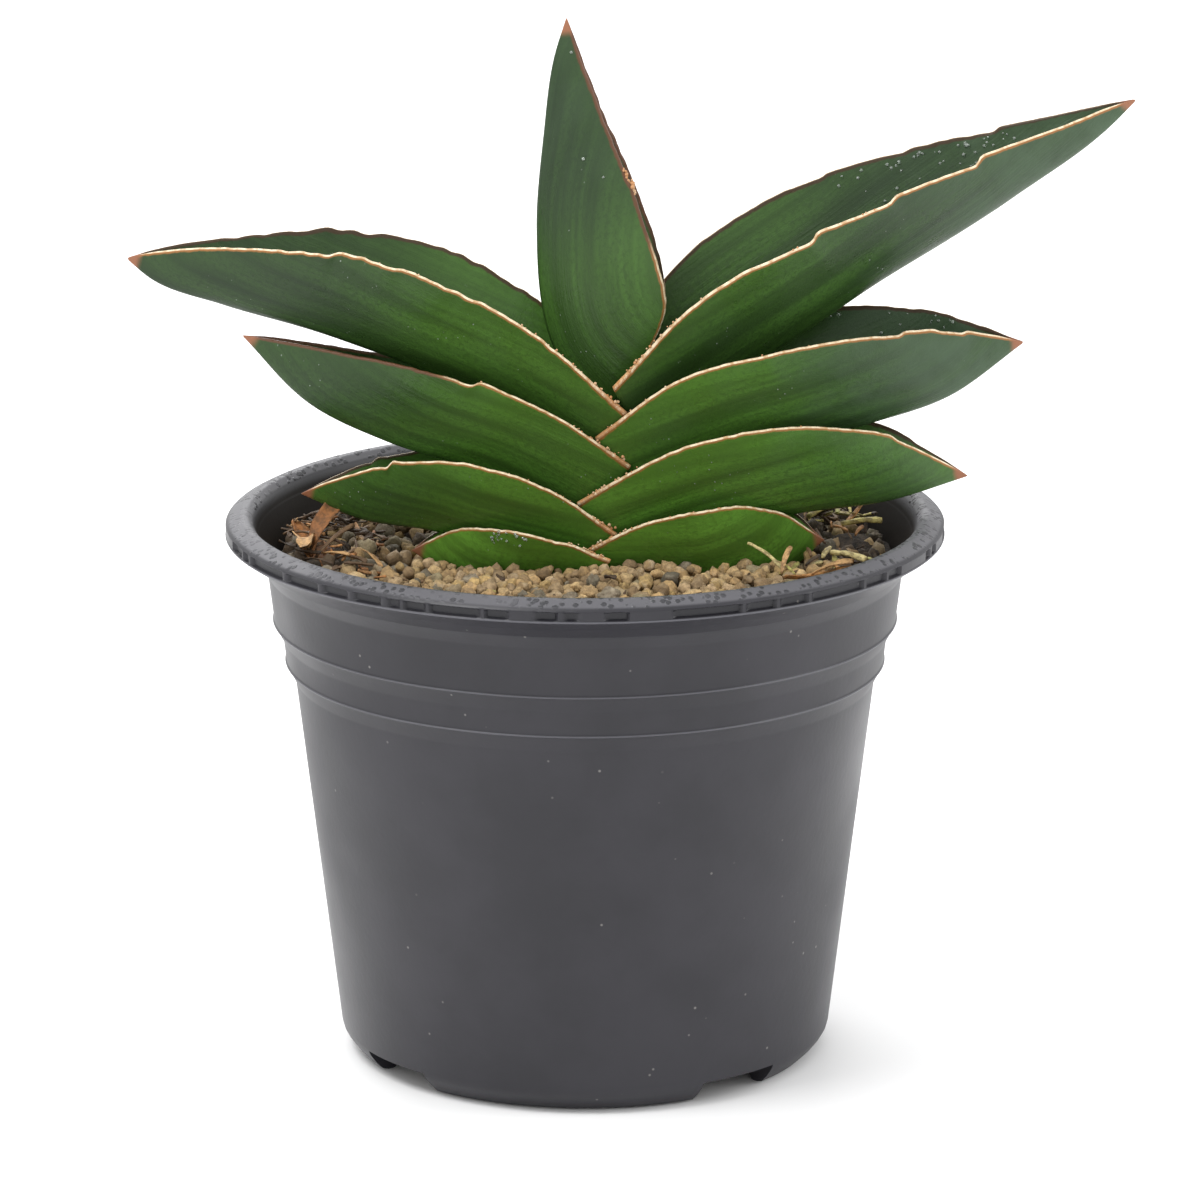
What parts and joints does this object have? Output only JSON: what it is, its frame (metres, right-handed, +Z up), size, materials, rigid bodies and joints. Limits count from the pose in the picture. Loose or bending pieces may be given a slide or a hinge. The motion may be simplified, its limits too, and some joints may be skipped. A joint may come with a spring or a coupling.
{
  "type": "potted snake plant",
  "caption": "Dwarf snake plant with channelled leaves in two ranks, planted in a tapered black plastic nursery pot with a gravel top dressing.",
  "frame": {"origin": "centre of the flat pad in the middle of the pot's underside, on the pot's axis, at the level that the pot stands on", "axes": "+Z up along the pot's axis; the leaves stand in two ranks, left (-X) and right (+X); the front of the plant faces -Y"},
  "size_m": [0.167, 0.12, 0.176],
  "materials": {
    "pot_plastic": "satin thermoformed plastic, charcoal, dusty, with faint water marks",
    "soil": "dark crumbly potting mix, not glossy",
    "gravel": "dry tan and grey granules, 2 to 4 mm",
    "rootstock": "pale fleshy rhizome and roots",
    "leaf": null,
    "bark": "dry olive and yellow bark and straw",
    "dry_leaf": "papery orange-brown dead leaf"
  },
  "bodies": {
    "root": {"pot": "pot_plastic", "soil": "soil", "gravel_dressing": "gravel", "rootstock": "rootstock", "leaf_left_1": "leaf", "leaf_right_1": "leaf", "leaf_left_2": "leaf", "leaf_right_2": "leaf", "leaf_left_3": "leaf", "leaf_right_3": "leaf", "leaf_left_4": "leaf", "leaf_right_4": "leaf", "leaf_centre": "leaf", "pebble_1": "gravel", "pebble_2": "gravel", "pebble_3": "gravel", "pebble_4": "gravel", "pebble_5": "gravel", "pebble_6": "gravel", "pebble_7": "gravel", "pebble_8": "gravel", "bark_chip_1": "bark", "bark_chip_2": "bark", "bark_chip_3": "bark", "bark_chip_4": "bark", "bark_chip_5": "bark", "dry_straw": "bark", "dry_scrap_left": "dry_leaf", "dry_scrap_right": "dry_leaf"}
  },
  "joints": []
}
